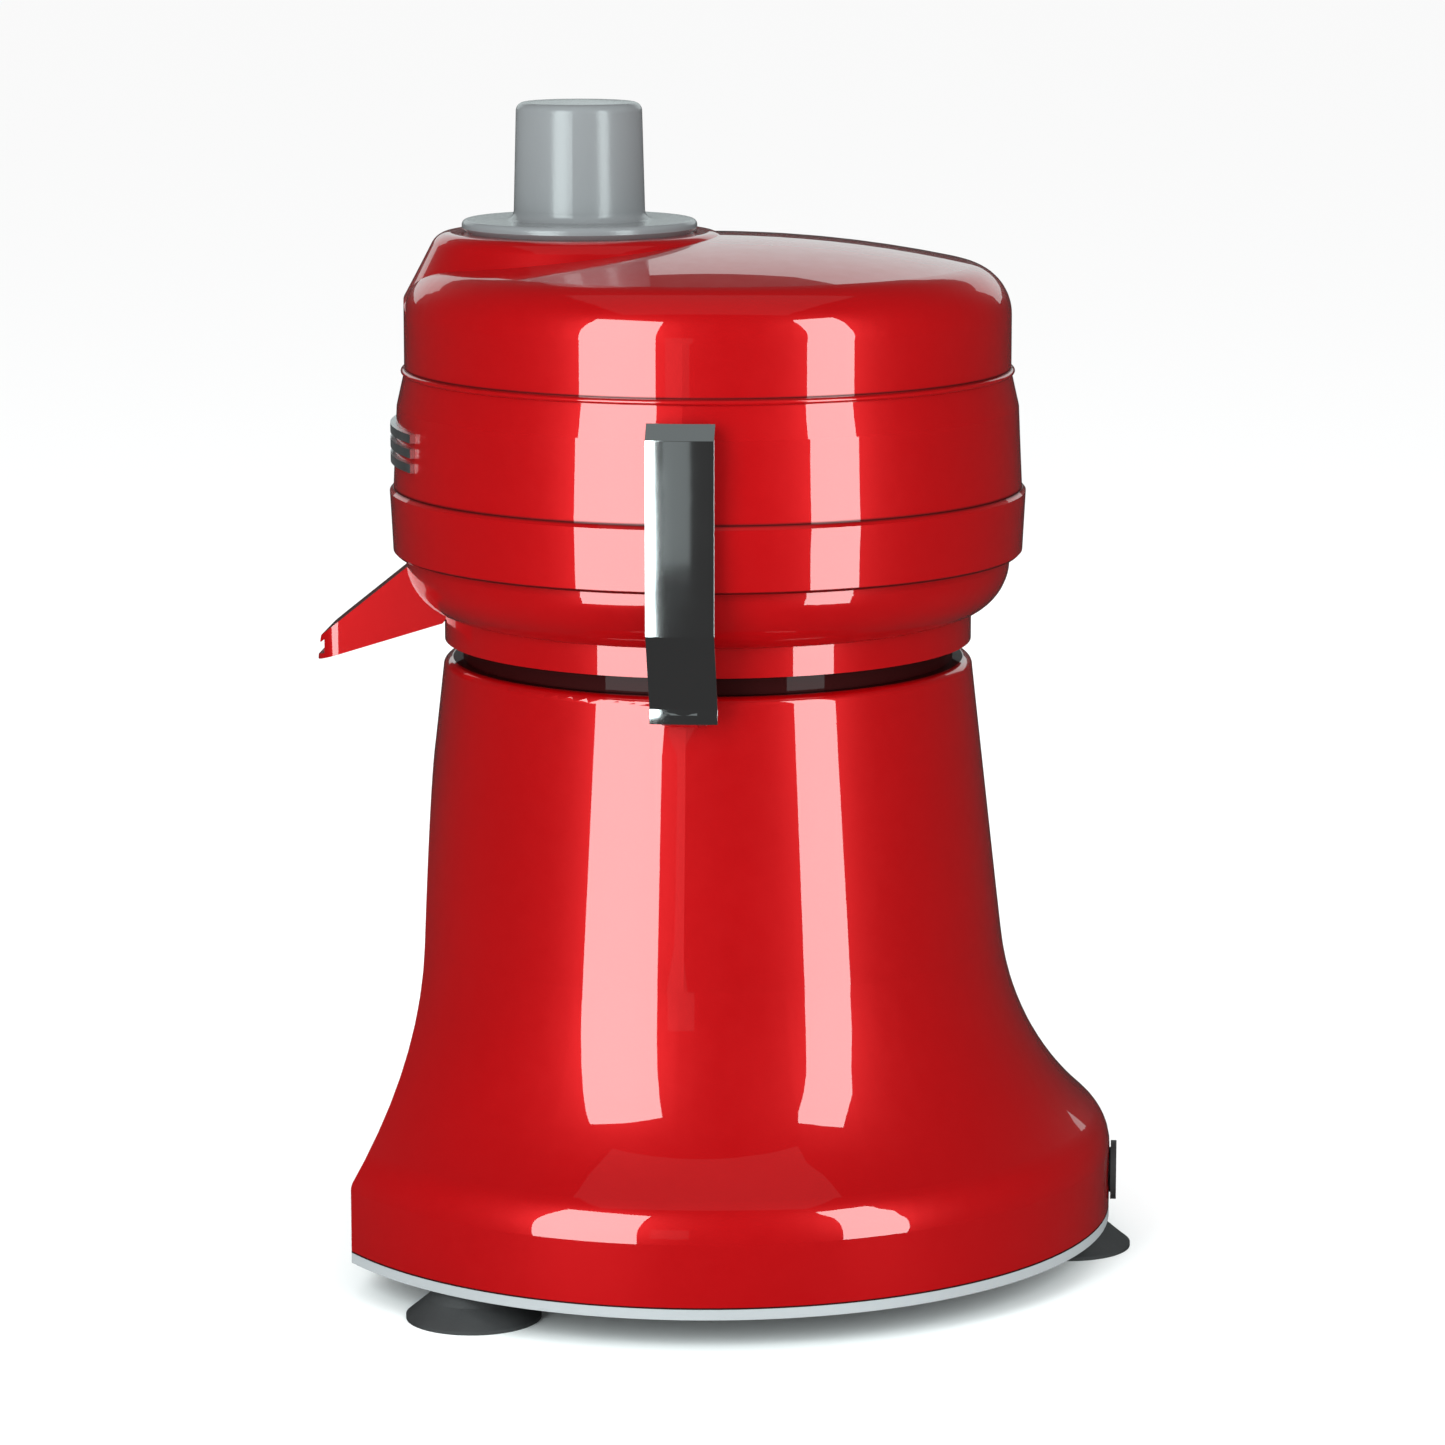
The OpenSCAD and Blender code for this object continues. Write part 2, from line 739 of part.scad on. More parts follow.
module grating_disc() {
    painted(chrome) difference() {
        union() {
            translate([0, 0, disc_z + sheet]) cylinder(r = basket_low_r - 2, h = 1.2);
            for (row = [0 : 4], i = [0 : 11])
                rotate(30 * i + 12 * row) translate([16 + 10.5 * row, 0, disc_z + 1.6])
                rotate([0, -18, 0]) cylinder(r1 = 1.5, r2 = 0.5, h = 1.9);
        }
        cylinder(r = stud_r + 0.2, h = far);
    }
}

module basket_nut() {
    painted(black) translate([0, 0, disc_z + sheet + 1.2]) difference() {
        union() {
            cylinder(r = 11, h = 2);
            translate([0, 0, 2]) cylinder(r1 = 9, r2 = 7, h = 5);
        }
        translate([0, 0, -1]) cylinder(r = stud_r + running_fit, h = 9);
    }
}

module pulp_collector() {
    low = rim_z - ledge_depth - 12;
    painted(grey) rotate_extrude() {
        translate([splash_r - splash_wall, low]) square([splash_wall, basket_z - 1.5 - low]);
        translate([splash_r - splash_wall, low]) square([trough_r - splash_r + splash_wall, 2.2]);
        translate([trough_r - 2.4, low]) square([2.4, basket_z + 10 - low]);
        translate([trough_r - 1, rim_z - ledge_depth]) square([ledge_r - slide_gap - trough_r + 1, 2.5]);
    }
}

// ---- Lid ----

function dome_r(roll) =
    let (rs = bowl_r - lid_roll, dz = lid_roll_z - lid_z)
    (rs * rs + dz * dz - lid_roll * lid_roll) / (2 * (-dz - lid_roll)) - lid_roll + roll;

module lid_outline(inset, low) {
    roll = lid_roll - inset;
    big = dome_r(roll);
    rs = bowl_r - lid_roll;
    centre = [0, lid_z - inset - big];
    ray = unit([rs, lid_roll_z] - centre);
    polygon([[0, low], [lid_skirt_r - inset, low], [lid_skirt_r - inset, rim_z],
             [lid_skirt_r - 1.3 - inset, rim_z + skirt_drop],
             [bowl_r - inset, rim_z + skirt_drop + shoulder_h], [bowl_r - inset, lid_roll_z],
             [0, lid_roll_z]]);
    translate([rs, lid_roll_z]) circle(roll);
    intersection() {
        translate(centre) circle(big, $fn = 180);
        polygon([[0, lid_roll_z - 1], [rs, lid_roll_z - 1], [rs, lid_roll_z],
                 centre + ray * (big + 2), [0, lid_z + 8]]);
    }
}

module boss_outline(inset) {
    r = boss_roll - inset;
    a = atan(boss_slope);
    side = [boss_r, lid_z + 1 - boss_roll] + r * [cos(a), sin(a)];
    low = lid_z - 32;
    polygon([[0, low], [side[0] + boss_slope * (side[1] - low), low], side,
             [boss_r, lid_z + 1 - inset], [0, lid_z + 1 - inset]]);
    translate([boss_r, lid_z + 1 - boss_roll]) circle(r);
}

module boss(inset) {
    intersection() {
        translate([0, -chute_y, 0]) rotate_extrude() boss_outline(inset);
        translate([0, 0, lid_z - 60]) cylinder(r = bowl_r - inset, h = 80);
    }
}

module lid_shell() {
    painted(red) difference() {
        union() {
            difference() {
                union() {
                    rotate_extrude() lid_outline(0, rim_z);
                    boss(0);
                }
                union() {
                    rotate_extrude() lid_outline(shell_wall, rim_z - 1);
                    boss(shell_wall);
                }
            }
            translate([0, -chute_y, 0]) rotate_extrude()
                polygon([[0, chute_z], [chute_r + chute_wall, chute_z],
                         [chute_r + chute_wall, throat_z], [funnel_r + chute_wall, funnel_z],
                         [funnel_r + chute_wall, flange_z - 1], [0, flange_z - 1]]);
            translate([0, 0, rim_z - 3.5])
                ring(ledge_r - slide_gap, ledge_r - slide_gap - 2.6, 6);
            translate([0, 0, rim_z]) ring(lid_skirt_r - 1, ledge_r - slide_gap - 1, 2.5);
        }
        translate([0, -chute_y, 0]) rotate_extrude()
            polygon([[0, chute_z - 1], [chute_r, chute_z - 1], [chute_r, throat_z],
                     [funnel_r, funnel_z], [funnel_r, flange_z + 20], [0, flange_z + 20]]);
    }
}

module lid_gasket() {
    painted(black) translate([0, 0, rim_z - ledge_depth + 2.5])
        ring(ledge_r - slide_gap, ledge_r - slide_gap - 2.6, ledge_depth - 6);
}

// Three level strips that wrap the front of the skirt
module lid_badge_strips() {
    inner = lid_skirt_r - 0.9;
    painted(chrome) difference() {
        for (i = [0 : 2]) translate([0, 0, rim_z + 9 + 5 * i]) rotate(-118)
            rotate_extrude(angle = 56) translate([inner - 3, 0]) square([3 + badge_t + 0.6, 3]);
        rotate_extrude() lid_outline(-0.02, rim_z);
    }
}

// ---- Pusher ----

module pusher_grip() {
    top = flange_z + flange_t + grip_h;
    painted(grey) translate([0, -chute_y, 0]) rotate_extrude() difference() {
        union() {
            polygon([[0, flange_z], [flange_r - 1.6, flange_z], [flange_r, flange_z + 1.6],
                     [flange_r, flange_z + flange_t - 1.8], [flange_r - 1.8, flange_z + flange_t],
                     [grip_r + grip_draft + 3, flange_z + flange_t],
                     [grip_r + grip_draft, flange_z + flange_t + 3],
                     [grip_r, top - 3], [grip_r - 3, top], [0, top + 0.8]]);
            translate([grip_r - 3, top - 3]) circle(3);
            translate([flange_r - 1.8, flange_z + flange_t - 1.8]) circle(1.8);
        }
        translate([grip_r + grip_draft + 3.03, flange_z + flange_t + 3]) circle(3);
        translate([0, flange_z - 1]) square([grip_r - 3, grip_h + 1]);
    }
}

module pusher_plunger() {
    r = chute_r - plunger_gap;
    top = flange_z;
    painted(grey) translate([0, -chute_y, 0]) rotate_extrude() difference() {
        polygon([[0, chute_z + 3], [r - 2, chute_z + 3], [r, chute_z + 5],
                 [r, throat_z], [funnel_r - plunger_gap, funnel_z + 0.3],
                 [funnel_r - plunger_gap, top], [0, top]]);
        polygon([[0, chute_z + 5.4], [r - 2.4, chute_z + 5.4], [r - 2.4, throat_z + 1],
                 [r - 2.4, top + 1], [0, top + 1]]);
    }
}

// ---- Clamps ----

module clamp_bracket() {
    difference() {
        union() {
            for (s = [-1, 1]) {
                translate([pin_x, s * ear_y, pin_z]) rotate([90, 0, 0])
                    cylinder(r = 4, h = ear_t, center = true);
                translate([base_top_r - 6.3, s * ear_y - ear_t / 2, pin_z - 4])
                    cube([pin_x - base_top_r + 6.3, ear_t, 4.5]);
            }
            translate([base_top_r - 6.3, -ear_y - 1, pin_z - 14])
                cube([3, 2 * ear_y + 2, 14.5]);
        }
        translate([pin_x, 0, pin_z]) rotate([90, 0, 0])
            cylinder(r = pin_r, h = 60, center = true);
    }
}
module clamp_bracket_right() painted(steel) clamp_bracket();
module clamp_bracket_left() painted(steel) rotate(180) clamp_bracket();

module clamp_pin() {
    length = knuckle_w + 2 * ear_gap + 2 * ear_t + 1.6;
    translate([pin_x, 0, pin_z]) rotate([90, 0, 0])
        cylinder(r = pin_r, h = length, center = true);
}
module clamp_pin_right() painted(steel) clamp_pin();
module clamp_pin_left() painted(steel) rotate(180) clamp_pin();

// Side view of an arm, in (x, z): foot at the pin, bend over the bowl, upright to the hook
module arm_side() {
    t = clamp_wall;
    low_x = pin_x + knuckle_r;
    polygon([[low_x - t, pin_z - 3], [low_x, pin_z - 3], [low_x, pin_z + 2],
             [arm_x, arm_bend_z], [arm_x, arm_top_z - hook_rise], [arm_x - hook_rise, arm_top_z],
             [arm_x - 5.8, arm_top_z], [arm_x - 5.8, arm_top_z - 4], [arm_x - t, arm_top_z - 6],
             [arm_x - t, arm_bend_z + 1], [low_x - t, pin_z + 3]]);
}

module clamp_arm() {
    difference() {
        union() {
            translate([0, clamp_w / 2, 0]) rotate([90, 0, 0]) linear_extrude(clamp_w) arm_side();
            translate([pin_x, 0, pin_z]) rotate([90, 0, 0])
                cylinder(r = knuckle_r, h = knuckle_w, center = true);
        }
        translate([pin_x, 0, pin_z]) rotate([90, 0, 0])
            cylinder(r = pin_r + running_fit, h = 60, center = true);
        for (s = [-1, 1])
            translate([pin_x, s * (knuckle_w / 2 + (ear_t + 2 * ear_gap) / 2), pin_z])
            rotate([90, 0, 0]) cylinder(r = 4.3, h = ear_t + 2 * ear_gap, center = true);
    }
}
module clamp_arm_right() painted(chrome) clamp_arm();
module clamp_arm_left() painted(chrome) rotate(180) clamp_arm();

// Rubber pad under the hook, lapping over the lid's sloped shoulder
module clamp_pad() {
    shoulder = lid_skirt_r - 1.3;
    difference() {
        translate([bowl_r - 1, -clamp_w / 2 + 2, arm_top_z - 5.5])
            cube([arm_x - 5.8 - bowl_r + 1, clamp_w - 4, 5]);
        translate([0, 0, rim_z + skirt_drop])
            cylinder(r1 = shoulder + 0.3, r2 = bowl_r + 0.3, h = shoulder_h);
    }
}
module clamp_pad_right() painted(black) clamp_pad();
module clamp_pad_left() painted(black) rotate(180) clamp_pad();

base_housing();
base_trim();
base_plate();
foot_left();
foot_right();
foot_rear();
base_plate_screws();
cord_gland();
front_switch_body();
switch_rocker();
speed_control_board();
interlock_switch();
suppression_capacitor();
stator_core();
field_coils();
upper_motor_bracket();
lower_motor_bracket();
motor_tie_bolts();
motor_dampers();
motor_mount_screws();
upper_bearing();
lower_bearing();
brush_holders();
carbon_brushes();
shaft_seal();
motor_shaft();
armature_core();
armature_windings();
commutator();
cooling_fan();
drive_hub();
juice_bowl();
basket_hub();
strainer_basket();
grating_disc();
basket_nut();
pulp_collector();
lid_shell();
lid_gasket();
lid_badge_strips();
pusher_grip();
pusher_plunger();
clamp_bracket_left();
clamp_bracket_right();
clamp_pin_left();
clamp_pin_right();
clamp_arm_left();
clamp_arm_right();
clamp_pad_left();
clamp_pad_right();
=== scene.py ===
"""Looks for a centrifugal juice extractor: glossy red base, bowl and lid, grey pusher,
chromed side clamps, black suction feet. Lengths are in metres, +Z up, spout towards -Y."""

import math

import bmesh
import bpy
from mathutils import Matrix, Vector


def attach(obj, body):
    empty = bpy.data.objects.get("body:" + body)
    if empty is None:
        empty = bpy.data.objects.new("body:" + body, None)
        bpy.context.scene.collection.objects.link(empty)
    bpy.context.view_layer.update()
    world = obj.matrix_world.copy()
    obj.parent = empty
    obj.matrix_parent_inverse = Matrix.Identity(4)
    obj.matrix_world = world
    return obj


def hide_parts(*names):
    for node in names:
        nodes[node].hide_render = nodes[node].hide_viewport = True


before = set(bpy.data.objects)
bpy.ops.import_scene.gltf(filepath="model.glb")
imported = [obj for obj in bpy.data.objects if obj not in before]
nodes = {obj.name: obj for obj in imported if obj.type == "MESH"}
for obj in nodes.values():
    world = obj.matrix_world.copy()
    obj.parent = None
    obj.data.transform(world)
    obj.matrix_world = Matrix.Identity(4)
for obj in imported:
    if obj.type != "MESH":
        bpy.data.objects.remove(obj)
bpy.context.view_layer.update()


# ---- Red shell: base housing, juice bowl and lid ----
# Moulded plastic, sprayed a deep red under clear gloss lacquer with a faint orange-peel
# waviness. The bowl sits over the base's neck, and the lid on the bowl's rim. The neck groove,
# the joint lines and the hem above the trim ring are coloured near-black as painted shade for
# the shade that falls in these gaps, and get almost no lacquer.

class Wire:
    """One socket of a node tree; sums and products on it add Math nodes."""

    def __init__(self, tree, socket):
        self.tree, self.socket = tree, socket

    def math(self, operation, *others):
        node = self.tree.nodes.new("ShaderNodeMath")
        node.operation = operation
        for place, value in enumerate((self, *others)):
            plug(self.tree, node.inputs[place], value)
        return Wire(self.tree, node.outputs[0])

    def __add__(self, other): return self.math("ADD", other)
    def __radd__(self, other): return self.math("ADD", other)
    def __sub__(self, other): return self.math("SUBTRACT", other)
    def __rsub__(self, other): return (self * -1).math("ADD", other)
    def __mul__(self, other): return self.math("MULTIPLY", other)
    def __rmul__(self, other): return self.math("MULTIPLY", other)
    def __truediv__(self, other): return self.math("DIVIDE", other)
    def over(self, edge): return self.math("GREATER_THAN", edge)


def plug(tree, socket, value):
    """Links a wire to a socket, or sets the socket's own value."""
    if isinstance(value, Wire):
        tree.links.new(value.socket, socket)
    else:
        socket.default_value = value


class Finish:
    """A material built on one Principled shader."""

    def __init__(self, name, colour, **values):
        self.material = bpy.data.materials.new(name)
        self.material.use_nodes = True
        self.tree = self.material.node_tree
        self.shader = self.tree.nodes["Principled BSDF"]
        self.set("Base Color", (*colour, 1))
        for socket, value in values.items():
            self.set(socket.replace("_", " "), value)
        self.object = self.node("TexCoord")["Object"]

    def set(self, socket, value):
        plug(self.tree, self.shader.inputs[socket], value)

    def node(self, kind, settings=None, **values):
        """Adds a node of this kind, and returns its outputs by name."""
        node = self.tree.nodes.new("ShaderNode" + kind)
        for key, value in (settings or {}).items():
            setattr(node, key, value)
        for key, value in values.items():
            plug(self.tree, node.inputs[key.replace("_", " ")], value)
        return {out.name: Wire(self.tree, out) for out in node.outputs}

    def noise(self, scale, detail=2.0, stretch=(1, 1, 1)):
        place = self.node("Mapping", Vector=self.object, Scale=stretch)["Vector"]
        return self.node("TexNoise", Vector=place, Scale=scale, Detail=detail)["Fac"]

    def bump(self, height, strength, distance):
        self.set("Normal", self.node("Bump", Height=height, Strength=strength,
                                     Distance=distance)["Normal"])

    def mix(self, fac, first, second):
        """A colour that goes from the first to the second as the mask goes from 0 to 1."""
        node = self.tree.nodes.new("ShaderNodeMix")
        node.data_type = "RGBA"
        plug(self.tree, node.inputs[0], fac)
        for place, colour in ((6, first), (7, second)):
            plug(self.tree, node.inputs[place],
                 colour if isinstance(colour, Wire) else (*colour, 1))
        return Wire(self.tree, node.outputs[2])

    def tint(self, fac, first, second, mask=None, third=None):
        """Blends two colours over the surface, and a third where the mask is 1."""
        colour = self.mix(fac, first, second)
        if mask is not None:
            colour = self.mix(mask, colour, third)
        self.set("Base Color", colour)

    def paint(self, *names):
        """Puts this finish on CAD nodes."""
        for name in names:
            nodes[name].data.materials.clear()
            nodes[name].data.materials.append(self.material)


AXIS_Y = -0.0071  # the motor's axis stands here in the frame

red_shell = Finish("deep_red_gloss", (0.35, 0.001, 0.003), Metallic=0.35,
                   Coat_Roughness=0.015, Coat_IOR=1.62, Specular_IOR_Level=0.12)
cloud = red_shell.noise(9.0, 3.0)
spot = red_shell.node("SeparateXYZ", Vector=red_shell.object)
reach = (spot["X"] * spot["X"] + (spot["Y"] - AXIS_Y) * (spot["Y"] - AXIS_Y)).math("SQRT")


NECK_Z, NECK_HALF, NECK_R = 0.2104, 0.0042, 0.0875
LID_STEP_Z, RIM_GAP_Z, BAND_LOW_Z, LINES_R = 0.3068, 0.2662, 0.2440, 0.1025
HEM_Z = 0.0151


def near(wire, centre, half):
    """1 at the centre, falling to 0 at this distance from it."""
    return (1 - (wire - centre).math("ABSOLUTE") / half).math("MAXIMUM", 0.0)


# Painted shade: the neck groove under the bowl's collar is coloured near-black for the shade in
# it.
neck = near(spot["Z"], NECK_Z, NECK_HALF).over(0.02) * (1 - reach.over(NECK_R))
# Painted shadow: thin near-black rings at the lid step, the rim gap and the band's lower edge,
# for the shadow in these joints.
joint_shade = near(spot["Z"], LID_STEP_Z, 0.0006) + near(spot["Z"], RIM_GAP_Z, 0.0008)
joint_shade = (joint_shade + near(spot["Z"], BAND_LOW_Z, 0.0007)) * reach.over(LINES_R)
# Painted shadow: the hem just above the trim ring is near-black for the shadow gap there.
hem_shadow = 1 - spot["Z"].over(HEM_Z)
painted_shade_unlacquered = (joint_shade + neck + hem_shadow).math("MINIMUM", 1.0)
# The third colour, near-black, is the painted shade in these gaps; the same mask also roughens
# the surface and thins the lacquer there.
red_shell.tint(cloud, (0.32, 0.0004, 0.0014), (0.40, 0.0006, 0.0022), painted_shade_unlacquered,
               (0.03, 0.0004, 0.0006))
red_shell.set("Roughness", 0.31 + 0.10 * red_shell.noise(140.0, 2.0) + 0.3 * painted_shade_unlacquered)
red_shell.set("Coat Weight", 1 - 0.9 * painted_shade_unlacquered)
red_shell.bump(red_shell.noise(210.0, 1.0), 0.015, 0.001)
red_shell.paint("base_housing", "juice_bowl", "lid_shell")


# ---- Grey plastic: trim ring under the base, pusher, pulp collector ----
# Moulded satin plastic, spark-eroded in the tool, so it has a very fine even grain. The ring
# is clipped under the housing, the pusher is loose, and the collector lifts out of the bowl.

def moulded(name, colour, rough, grain=900.0, depth=0.06):
    """Plain moulded plastic, a little uneven in colour and gloss, with a fine grain."""
    finish = Finish(name, colour)
    shade = tuple(0.92 * c for c in colour)
    finish.tint(finish.noise(25.0, 3.0), shade, colour)
    finish.set("Roughness", rough - 0.05 + 0.1 * finish.noise(60.0, 2.0))
    finish.bump(finish.noise(grain, 2.0), depth, 0.0006)
    return finish


moulded("pale_grey_trim", (0.30, 0.31, 0.32), 0.40).paint("base_trim")
moulded("grey_pusher", (0.17, 0.174, 0.18), 0.22).paint("pusher_grip", "pusher_plunger")
moulded("grey_collector", (0.26, 0.265, 0.27), 0.36).paint("pulp_collector")


# ---- Black rubber: suction feet, cord gland, gaskets, dampers, clamp pads ----
# Soft matt rubber with a dry, slightly dusty bloom. The feet and the gland are pushed into
# holes and held by their own collars; the rest is pressed in place.

rubber = Finish("black_rubber", (0.02, 0.02, 0.021))
bloom = rubber.noise(40.0, 4.0)
rubber.tint(bloom, (0.014, 0.014, 0.015), (0.04, 0.04, 0.041))
rubber.set("Roughness", 0.5 + 0.25 * bloom)
rubber.bump(rubber.noise(700.0, 2.0), 0.12, 0.0005)
rubber.paint("foot_left", "foot_right", "foot_rear", "cord_gland", "lid_gasket",
             "motor_dampers", "shaft_seal", "clamp_pad_left", "clamp_pad_right")


# ---- Black and dark plastics: switch, base plate, hubs ----
# Plain moulded plastic inside and under the machine. The plate is screwed on from below, the
# switch snaps into the front, and the hubs are moulded on or pressed over the shaft.

moulded("black_plastic", (0.022, 0.022, 0.024), 0.35).paint(
    "front_switch_body", "drive_hub", "basket_nut", "interlock_switch")
moulded("dark_plastic", (0.045, 0.047, 0.05), 0.45).paint(
    "base_plate", "basket_hub", "cooling_fan", "brush_holders")
moulded("rocker_plastic", (0.03, 0.03, 0.032), 0.25).paint("switch_rocker")


# ---- Chrome: clamp arms and the strips on the lid ----
# Each arm is steel strip with a crowned face, bent, polished and chromed, welded to a knuckle
# that turns on the bracket's pin. The strips are satin chromed and glued to the lid.

chrome = Finish("polished_chrome", (0.86, 0.87, 0.88), Metallic=1.0)
chrome.set("Roughness", 0.05 + 0.08 * chrome.noise(60.0, 4.0))
chrome.bump(chrome.noise(35.0, 2.0), 0.05, 0.002)
satin = Finish("satin_chrome", (0.80, 0.81, 0.82), Metallic=1.0)
satin.set("Roughness", 0.28 + 0.15 * satin.noise(90.0, 3.0))
satin.bump(satin.noise(500.0, 2.0), 0.05, 0.0004)
satin.paint("lid_badge_strips")

# Sizes in mm; the arm's side is drawn as (x, z) points, from its foot up and back down
MM = 0.001
PIN_X, PIN_Z, PIN_BORE_R = 96.2, 203.0, 2.05
STRIP_W, KNUCKLE_R, KNUCKLE_W = 22.3, 4.6, 9.0
CROWN, EDGE_ROUND, EDGE_STEPS, WIDTH_CUTS = 0.62, 0.8, 4, 11
WELD, SMOOTH_TURN, ROUNDED_TURN = 1e-5, 0.6, 0.3
outside = [(100.8, 200.0), (100.8, 205.0), (115.0, 231.0), (115.0, 294.5), (110.0, 299.5)]
inside = [(109.2, 299.5), (109.2, 295.5), (111.8, 293.5), (111.8, 232.0), (97.6, 206.0),
          (97.6, 200.0)]


def finished(name, mesh, finish, body, replaced=(), turn=0.0):
    """Makes an object of a mesh drawn about the motor's axis in mm, and lets it ride a body."""
    bmesh.ops.remove_doubles(mesh, verts=mesh.verts, dist=WELD)
    bmesh.ops.recalc_face_normals(mesh, faces=mesh.faces)
    place = Matrix.Translation((0, AXIS_Y, 0)) @ Matrix.Rotation(turn, 4, "Z")
    bmesh.ops.transform(mesh, matrix=place @ Matrix.Scale(MM, 4), verts=mesh.verts)
    for face in mesh.faces:
        face.smooth = True
    for edge in mesh.edges:
        edge.smooth = len(edge.link_faces) != 2 or edge.calc_face_angle() < SMOOTH_TURN
    data = bpy.data.meshes.new(name)
    mesh.to_mesh(data)
    mesh.free()
    data.materials.append(finish.material)
    piece = bpy.data.objects.new(name, data)
    bpy.context.scene.collection.objects.link(piece)
    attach(piece, body)
    if replaced:
        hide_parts(*replaced)
    return piece


def rounded(mesh, width, segments):
    """Rounds every edge that isn't nearly flat."""
    sharp = [e for e in mesh.edges
             if len(e.link_faces) == 2 and e.calc_face_angle() > ROUNDED_TURN]
    bmesh.ops.bevel(mesh, geom=sharp, offset=width, offset_type="OFFSET", segments=segments,
                    profile=0.5, affect="EDGES", clamp_overlap=True, material=-1)


def spun(mesh, profile, steps):
    """Turns a closed profile of (radius, height) points once round the upright axis."""
    points = [mesh.verts.new((r, 0, z)) for r, z in profile]
    edges = [mesh.edges.new((a, b)) for a, b in zip(points, points[1:] + points[:1])]
    bmesh.ops.spin(mesh, geom=points + edges, cent=(0, 0, 0), axis=(0, 0, 1), dvec=(0, 0, 0),
                   angle=math.tau, steps=steps, use_merge=True, use_duplicate=False)


for side, turn in (("right", 0.0), ("left", math.pi)):
    arm = bmesh.new()
    corners = [arm.verts.new((x, -STRIP_W / 2, z)) for x, z in outside + inside]
    cap = arm.faces.new(corners)
    drawn = bmesh.ops.extrude_face_region(arm, geom=[cap])["geom"]
    bmesh.ops.translate(arm, vec=(0, STRIP_W, 0),
                        verts=[v for v in drawn if isinstance(v, bmesh.types.BMVert)])
    across = [e for e in arm.edges if abs(e.verts[0].co.y - e.verts[1].co.y) > 1]
    bmesh.ops.subdivide_edges(arm, edges=across, cuts=WIDTH_CUTS, use_grid_fill=True)
    for vert in arm.verts:
        if any(abs(vert.co.x - x) + abs(vert.co.z - z) < 0.01 for x, z in outside):
            vert.co.x -= CROWN * (2 * vert.co.y / STRIP_W) ** 2
    bmesh.ops.recalc_face_normals(arm, faces=arm.faces)
    rounded(arm, EDGE_ROUND, EDGE_STEPS)
    finished("clamp_strip_" + side, arm, chrome, "clamp_" + side,
             ["clamp_arm_" + side], turn)
    knuckle = bmesh.new()
    spun(knuckle, [(PIN_BORE_R, -KNUCKLE_W / 2), (KNUCKLE_R, -KNUCKLE_W / 2),
                   (KNUCKLE_R, KNUCKLE_W / 2), (PIN_BORE_R, KNUCKLE_W / 2)], steps=48)
    bmesh.ops.rotate(knuckle, cent=(0, 0, 0), matrix=Matrix.Rotation(math.pi / 2, 3, "X"),
                     verts=knuckle.verts)
    bmesh.ops.translate(knuckle, vec=(PIN_X, 0, PIN_Z), verts=knuckle.verts)
    finished("clamp_knuckle_" + side, knuckle, chrome, "clamp_" + side, (), turn)


# ---- Plain steel: sieve, brackets, pins, screws, shaft and bearings ----
# Bare steel with the streaks that rolling and turning leave. The sieve and its grating disc
# are clamped on the hub by the nut; the motor's parts are bolted and pressed together.

def streaked(name, colour, rough, stretch, scale=300.0):
    """Bare metal with fine streaks, drawn out by the stretch."""
    finish = Finish(name, colour, Metallic=1.0)
    streak = finish.noise(scale, 4.0, stretch)
    finish.tint(streak, tuple(0.8 * c for c in colour), colour)
    finish.set("Roughness", rough - 0.08 + 0.2 * streak)
    finish.bump(streak, 0.08, 0.0004)
    return finish


streaked("sieve_steel", (0.66, 0.67, 0.68), 0.28, (1, 1, 12)).paint(
    "strainer_basket", "grating_disc")
streaked("plain_steel", (0.56, 0.57, 0.58), 0.32, (1, 1, 10)).paint(
    "clamp_bracket_left", "clamp_bracket_right", "clamp_pin_left", "clamp_pin_right",
    "base_plate_screws", "motor_tie_bolts", "motor_mount_screws", "upper_bearing",
    "lower_bearing", "motor_shaft")
streaked("laminated_iron", (0.30, 0.31, 0.33), 0.42, (0.05, 0.05, 6), 900.0).paint(
    "stator_core", "armature_core")
streaked("cast_alloy", (0.60, 0.61, 0.62), 0.48, (1, 1, 1), 500.0).paint(
    "upper_motor_bracket", "lower_motor_bracket")


# ---- Motor windings, commutator, brushes, board, capacitor ----
# Enamelled copper wire laid in turns, copper segments, pressed carbon, printed board. The
# coils are wound on the iron, the brushes slide in their holders, the board is clipped in.

copper = Finish("enamelled_copper", (0.62, 0.24, 0.09), Metallic=0.85, Roughness=0.3)
turns = copper.node("TexWave", {"wave_type": "BANDS", "bands_direction": "Z"},
                    Vector=copper.object, Scale=420.0, Distortion=1.2)["Fac"]
copper.tint(turns, (0.36, 0.12, 0.05), (0.70, 0.30, 0.12))
copper.bump(turns, 0.5, 0.0005)
copper.paint("field_coils", "armature_windings", "commutator")
moulded("pressed_carbon", (0.03, 0.03, 0.032), 0.5).paint("carbon_brushes")
moulded("circuit_board", (0.015, 0.13, 0.05), 0.35).paint("speed_control_board")
moulded("capacitor_film", (0.62, 0.42, 0.10), 0.2).paint("suppression_capacitor")


# ---- Bead round the lid ----
# A fine half-round bead of the lid's own red plastic, moulded and lacquered with it, where
# the wall steps out to the skirt.

BEAD_R, BEAD_Z, BEAD_OUT, BEAD_UP = 103.5, 305.5, 1.0, 0.9
bead = bmesh.new()
spun(bead, [(BEAD_R + BEAD_OUT * math.cos(a), BEAD_Z + BEAD_UP * math.sin(a))
            for a in (math.radians(d) for d in range(-120, 121, 24))], steps=256)
finished("lid_bead", bead, red_shell, "lid")


# ---- Floor, light and camera ----
# A pale floor, tall soft panels on either side of the camera, a wide one behind and one
# overhead, and a dim one in front for the chrome.

